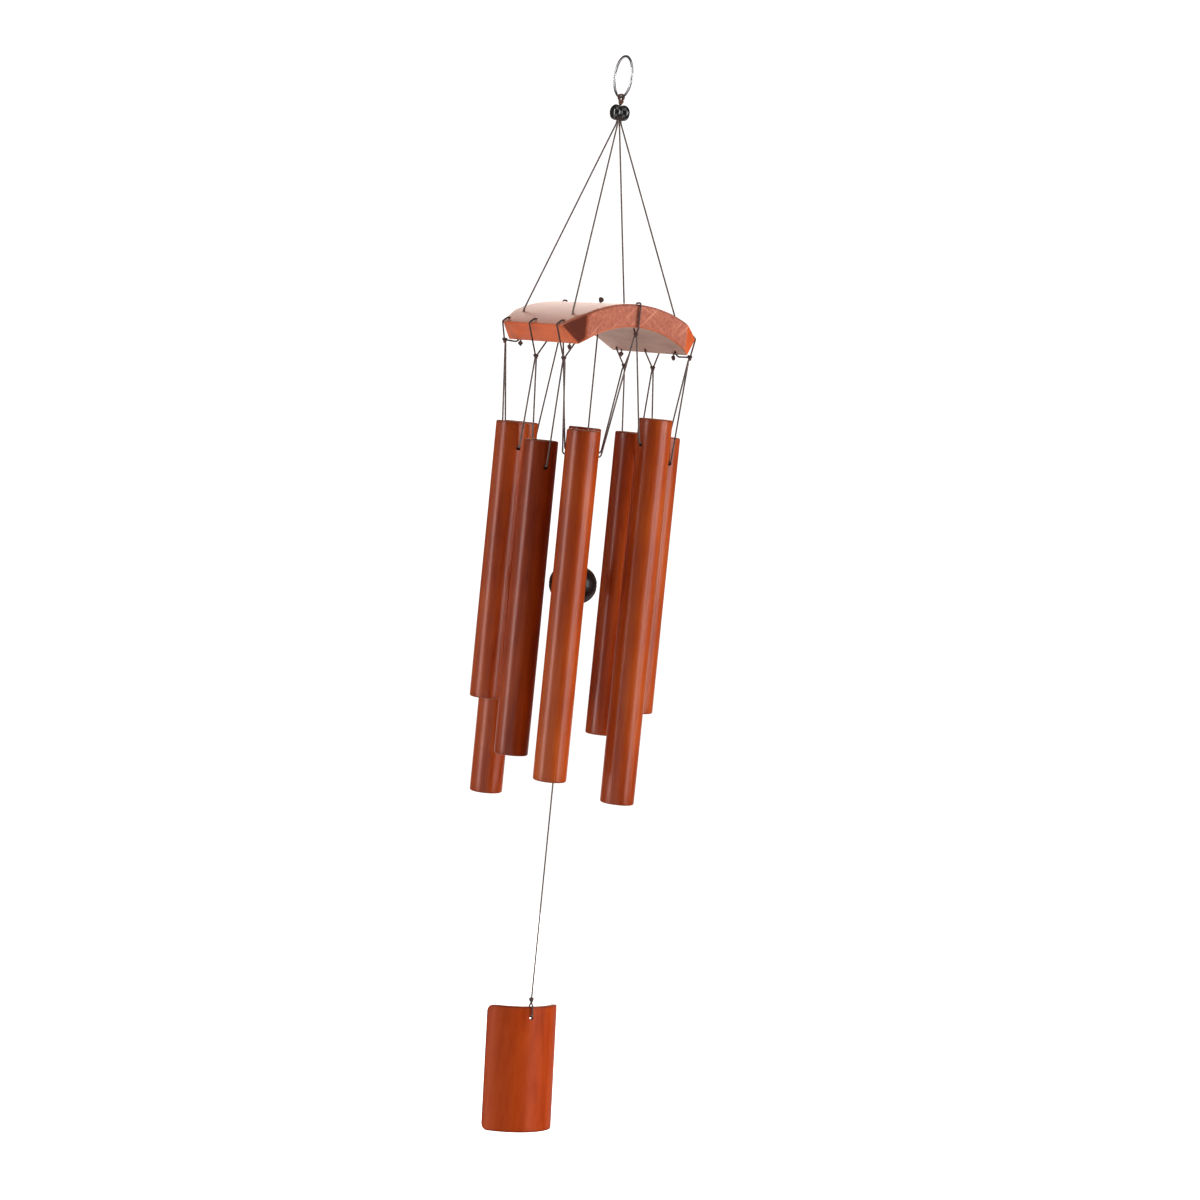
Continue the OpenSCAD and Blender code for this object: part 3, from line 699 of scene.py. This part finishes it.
# The bore's dark colour is painted shade inside the hollow.
tube_bore_shade = bamboo_finish("tube_bore_shade", "z", (0.07, 0.016, 0.006), (0.13, 0.032, 0.012),
                          (0.2, 0.06, 0.025), gloss=0.6, coat=0.15, grain=1.6)
random.seed(8)
tubes = []
for k in range(1, 9):
    first, second = KNOTS[k - 1], KNOTS[k % 8]
    along = Vector((second.x - first.x, second.y - first.y, 0)).normalized()
    length = TUBE_LENGTHS[(k - 1) % 4]
    top = crest_z - TUBE_DROP - HANGS_LOWER[k - 1]
    middle = Vector(((first.x + second.x) / 2, (first.y + second.y) / 2, 0)) + along * SLIDES[k - 1]
    hold = middle + Vector((0, 0, top - HOLE_INSET))
    bpy.ops.object.select_all(action="DESELECT")
    bpy.ops.mesh.primitive_cylinder_add(vertices=72, radius=tube_r, depth=length,
                                        location=(0, 0, length / 2))
    tube = bpy.context.object
    tube.name = f"bamboo_tube_{k}"
    bpy.ops.object.transform_apply(location=True, rotation=True, scale=True)
    bpy.ops.object.mode_set(mode="EDIT")
    select_where(tube, "FACE", lambda f: abs(f.normal.z) > 0.9)
    bpy.ops.mesh.inset(thickness=TUBE_WALL)
    bpy.ops.mesh.delete(type="FACE")
    bpy.ops.mesh.select_mode(type="EDGE")
    bpy.ops.mesh.select_all(action="DESELECT")
    bpy.ops.mesh.select_non_manifold()
    bpy.ops.mesh.bridge_edge_loops()
    bpy.ops.mesh.select_all(action="DESELECT")
    bpy.ops.mesh.edges_select_sharp(sharpness=math.radians(60))
    bpy.ops.mesh.bevel(offset=TUBE_EASE, segments=4, affect="EDGES")
    points = tube.data.vertices
    select_where(tube, "EDGE", lambda e: abs(points[e.vertices[0]].co.z
                                             - points[e.vertices[1]].co.z) > length / 2)
    bpy.ops.mesh.subdivide(number_cuts=TUBE_CUTS)
    bpy.ops.object.mode_set(mode="OBJECT")
    phase = [random.uniform(0, 2 * math.pi) for _ in range(4)]
    for v in tube.data.vertices:
        a, h = math.atan2(v.co.y, v.co.x), v.co.z / length
        grow = (OVAL * math.cos(2 * a + phase[0]) + LOBED * math.cos(3 * a + phase[1] + 2 * h)
                + WAVY * math.sin(5 * h + phase[2]) - SHRINK)
        flat = Vector((v.co.x, v.co.y, 0))
        v.co += flat.normalized() * grow * (1 if flat.length > tube_r - TUBE_WALL / 2 else 0.6)
        v.co.z += SKEW * math.sin(a + phase[3]) * (1 if h > 0.5 else -1) * abs(2 * h - 1)
    tube.data.transform(Matrix.Translation(middle + Vector((0, 0, top - length))))
    drilled(tube, [(hold - Vector((0, 0, TUBE_SAG)), along, 2 * TUBE_OD, TUBE_HOLE)])
    bpy.ops.object.shade_smooth_by_angle(angle=math.radians(35))
    # Painted shade along both rims: a share rising over the last few millimetres of each end.
    near = [min(top - v.co.z, v.co.z - top + length) / TUBE_RIM_SHADE for v in tube.data.vertices]
    for name, values in (("lip", [min(1, max(0, 1 - n)) for n in near]),
                         ("own_tone", [TUBE_TONES_AND_SHADE[k - 1]] * len(near))):
        tube.data.attributes.new(name, "FLOAT", "POINT").data.foreach_set("value", values)
    settle(tube, tube_skin, f"tube_{k}", "tube", f"chime_tube_{k}")
    tube.data.materials.append(tube_rim)
    tube.data.materials.append(tube_bore_shade)
    for face in tube.data.polygons:
        out = Vector((face.center.x - middle.x, face.center.y - middle.y, 0))
        if abs(face.normal.z) > 0.75:
            face.material_index = 1
        elif out.length < tube_r - TUBE_WALL / 2:
            face.material_index = 2
    tubes.append((first, second, along, hold))

# Tube cords: one cord carries each tube, from a rim knot down its outside,
# across through both holes and up to the next knot, so the strings zigzag.
CLEAR = 0.45 * MM
LAY = CORD / 2 + CLEAR
for k, (first, second, along, hold) in enumerate(tubes, 1):
    leave = Vector((0, 0, -KNOT / 2 - GAP))
    tuck = Vector((0, 0, -DROOP))
    up = Vector((0, 0, 1.2 * MM))
    route = [first + tuck + along * 0.3 * MM, first + along * LAY + leave,
             hold - along * (tube_r + 1.5 * MM) + up, hold - along * (tube_r + CLEAR),
             hold + along * (tube_r + CLEAR), hold + along * (tube_r + 1.5 * MM) + up,
             second - along * LAY + leave, second + tuck - along * 0.3 * MM]
    cord, path = twisted(f"tube_line_{k}", route, reach=1.3 * MM)
    settle(cord, grey_cord, f"bridle_{k}", "cord", f"tube_cord_{k}")
    length = sum((b - a).length for a, b in zip(path, path[1:]))

# Striker's line: a ball knot on the plate's crest holds a cord that goes down
# through the plate and carries the clapper on a stop knot.
STUB, LINK, CLAPPER_DROP = 1 * MM, 7 * MM, 197.5 * MM
CLAPPER_D, CLAPPER_H, CLAPPER_BORE = 34 * MM, 27.5 * MM, 3 * MM
stub_z = under_z - STUB
link_z = stub_z - TUCK - LINK
clapper_z = crest_z - CLAPPER_DROP
stop_z = clapper_z - CLAPPER_H / 2 - GAP - KNOT / 2
ball_z = crest_z + GAP + KNOT / 2
crest_knot = joined("crest_knot", twisted("stub", [(0, 0, ball_z), (0, 0, stub_z - 0.2 * MM)])[0],
                    tied("knot", (0, 0, ball_z - 0.6 * MM), (0, 0.15, 1)),
                    tied("knot", (0, 0, ball_z + 0.2 * MM), (1, 0.4, 0.2), 4 * MM))
settle(crest_knot, dark_cord, "canopy", "knot", "centre_knot")
link = twisted("striker_bend", [(0, 0, stub_z - 0.1 * MM), (0, 0, link_z - 0.2 * MM)])[0]
settle(link, grey_cord, "link", "cord", "clapper_link")
route = [(0, 0, link_z - 0.1 * MM), (0, 0, stop_z)]
cord, path = twisted("striker_line", route)
stop = tied("striker_stop", (0, 0, stop_z), (0.2, 0.2, 1))
settle(stop, dark_cord, "striker", "knot")
settle(cord, grey_cord, "striker", "cord", "clapper_cord")
round((path[0] - path[-1]).length, 3)

# Clapper: a ball of dark-stained wood turned a little flat, with a fine line
# round its middle left by the tool, threaded on the cord.
TURNING_LINE, OUTLINE_STEPS = 0.25 * MM, 36
flat_r, round_r = (CLAPPER_D - CLAPPER_H) / 2, CLAPPER_H / 2
outline = [(0, round_r)]
for k in range(OUTLINE_STEPS + 1):
    a = math.pi / 2 - math.pi * k / OUTLINE_STEPS
    groove = TURNING_LINE if abs(k - OUTLINE_STEPS // 2) == 1 else 0
    outline.append((flat_r + (round_r - groove) * math.cos(a), (round_r - groove) * math.sin(a)))
outline.append((0, -round_r))
clapper = lathed("dark_clapper", outline, (0, 0, clapper_z), (0, 0, 1), 96)
drilled(clapper, [((0, 0, clapper_z), (0, 0, 1), 2 * CLAPPER_D, CLAPPER_BORE)])
bpy.ops.object.shade_smooth_by_angle(angle=math.radians(40))
dark_wood, at, feed = finish_start("dark_turned_wood", Coat_Roughness=0.2, Specular_IOR_Level=0.25)
grain = at.stretched(1, 1, 0.12).noise(900, 3)
turned = at.stretched(0.05, 0.05, 1).noise(2600, 2)
feed("Base Color", grain.ramp((0.3, (0.004, 0.002, 0.0015)), (0.7, (0.014, 0.006, 0.0045))))
feed("Roughness", grain * 0.2 + 0.28)
feed("Coat Weight", grain * 0.3 + 0.1)
feed("Normal", (grain * 0.5 + turned * 0.5).bump(0.2, 0.2 * MM))
settle(clapper, dark_wood, "striker", "clapper", "clapper")

# Sail's line: a plain cord from the clapper's stop knot down to the sail's knot,
# which turns on the line and lets the sail swivel.
SAIL_DROP = 495 * MM
sail_z = crest_z - SAIL_DROP
route = [(0, 0, stop_z - DROOP), (0, 0, sail_z + DROOP)]
cord, path = twisted("sail_line_cord", route)
settle(cord, grey_cord, "sail_line", "cord", "sail_cord")
round((path[0] - path[-1]).length, 3)
sail_knot = joined("sail_tie", tied("knot", (0, 0, sail_z), (0.2, 1, 0)),
                   tied("knot", (0, 0, sail_z - 0.5 * MM), (1, 0.2, 0.3), 3.5 * MM))
settle(sail_knot, dark_cord, "sail_swivel", "knot", "sail_knot")

# Sail: a curved slat split from a thin culm, round side to the front, corners
# rounded. A loop through its hole and over its top edge ties it to the line,
# and it hangs with its centre of mass under the knot, so it leans forward.
SAIL_R, SAIL_WALL, SAIL_H, SAIL_ROUND = 30 * MM, 3.8 * MM, 89 * MM, 5 * MM
SAIL_HALF, SAIL_HOLE_INSET = math.radians(65), 7 * MM
SAIL_RIM_SHADE, SAIL_EASE = 3.5 * MM, 0.7 * MM
sail_top = KNOT / 2 + GAP + CORD + 1.25 * MM
sail_in = SAIL_R - SAIL_WALL
mass_r = (2 / 3 * math.sin(SAIL_HALF) / SAIL_HALF * (SAIL_R ** 3 - sail_in ** 3)
          / (SAIL_R ** 2 - sail_in ** 2))
sail_lean = math.atan((SAIL_R - SAIL_WALL / 2 - mass_r) / (sail_top + SAIL_H / 2))
leaning = Matrix.Translation((0, 0, sail_z)) @ Matrix.Rotation(-sail_lean, 4, "X")

loop_y = SAIL_WALL / 2 + OFF
hole_z = -sail_top - SAIL_HOLE_INSET
strand = [(CORD / 2 - 0.2 * MM, -DROOP), (CORD / 2 + 0.15 * MM, -KNOT / 2 - GAP - 0.15 * MM),
          (loop_y, -sail_top + 0.4 * MM), (loop_y, hole_z + 1.2 * MM),
          (loop_y - 0.6 * MM, hole_z)]
route = [leaning @ Vector((0, -y, z)) for y, z in strand]
route += [leaning @ Vector((0, y, z)) for y, z in reversed(strand)]
loop = twisted("sail_tie_loop", route, reach=1 * MM)[0]
settle(loop, dark_cord, "sail", "knot", "sail_loop")

bpy.ops.object.select_all(action="DESELECT")
bpy.ops.mesh.primitive_grid_add(x_subdivisions=96, y_subdivisions=60, size=1)
sail = bpy.context.object
sail.name = "bamboo_sail"
sail_axis_y = SAIL_R - SAIL_WALL / 2
sail_mid_z = -sail_top - SAIL_H / 2
wide = SAIL_HALF * SAIL_R
for v in sail.data.vertices:
    u, h = v.co.x * 2 * wide, v.co.y * SAIL_H
    a, b = [(abs(p) - reach + SAIL_ROUND) / SAIL_ROUND
            for p, reach in ((u, wide), (h, SAIL_H / 2))]
    if a > 0 and b > 0:
        u = math.copysign(wide - SAIL_ROUND * (1 - a * math.sqrt(1 - b * b / 2)), u)
        h = math.copysign(SAIL_H / 2 - SAIL_ROUND * (1 - b * math.sqrt(1 - a * a / 2)), h)
    around_by = u / SAIL_R
    v.co = (SAIL_R * math.sin(around_by), sail_axis_y - SAIL_R * math.cos(around_by),
            sail_mid_z + h)
bpy.ops.object.mode_set(mode="EDIT")
bpy.ops.mesh.select_all(action="SELECT")
bpy.ops.mesh.normals_make_consistent(inside=False)
bpy.ops.object.mode_set(mode="OBJECT")
if sum(face.normal.y for face in sail.data.polygons) > 0:
    sail.data.flip_normals()
wall = sail.modifiers.new("wall", "SOLIDIFY")
wall.thickness, wall.offset = SAIL_WALL, -1
bpy.ops.object.modifier_apply(modifier=wall.name)
easing = sail.modifiers.new("easing", "BEVEL")
easing.width, easing.segments = SAIL_EASE, 3
easing.limit_method, easing.angle_limit = "ANGLE", math.radians(50)
bpy.ops.object.modifier_apply(modifier=easing.name)
drilled(sail, [((0, 0, hole_z - TUBE_SAG), (0, 1, 0), 6 * SAIL_WALL, TUBE_HOLE)])
# Painted shade along the sail's edges: a share rising towards each edge.
lip = []
for v in sail.data.vertices:
    beside = wide - SAIL_R * abs(math.atan2(v.co.x, sail_axis_y - v.co.y))
    near = min(beside, SAIL_H / 2 - abs(v.co.z - sail_mid_z)) / SAIL_RIM_SHADE
    lip.append(min(1, max(0, 1 - near)))
sail.data.attributes.new("lip", "FLOAT", "POINT").data.foreach_set("value", lip)
sail.data.transform(leaning)
bpy.ops.object.shade_smooth_by_angle(angle=math.radians(35))
sail_skin = bamboo_finish("sail_skin", "z", (0.26, 0.024, 0.0014), (0.39, 0.045, 0.0035),
                          (0.49, 0.07, 0.007), gloss=0.45, coat=0.03, grain=0.7, shine=0.07)
settle(sail, sail_skin, "sail", "sail", "sail")
sail.data.materials.append(bamboo_finish("sail_hollow", "z", (0.26, 0.1, 0.065), (0.4, 0.18, 0.13),
                                         (0.5, 0.26, 0.2), gloss=0.55, coat=0.15, grain=1.4))
sail.data.materials.append(tube_rim)
axis_point = leaning @ Vector((0, sail_axis_y, sail_mid_z))
axis_line = (leaning.to_3x3() @ Vector((0, 0, 1))).normalized()
for face in sail.data.polygons:
    out = face.center - axis_point
    out = (out - axis_line * out.dot(axis_line)).normalized()
    facing = face.normal.dot(out)
    face.material_index = 0 if facing > 0.5 else 1 if facing < -0.5 else 2
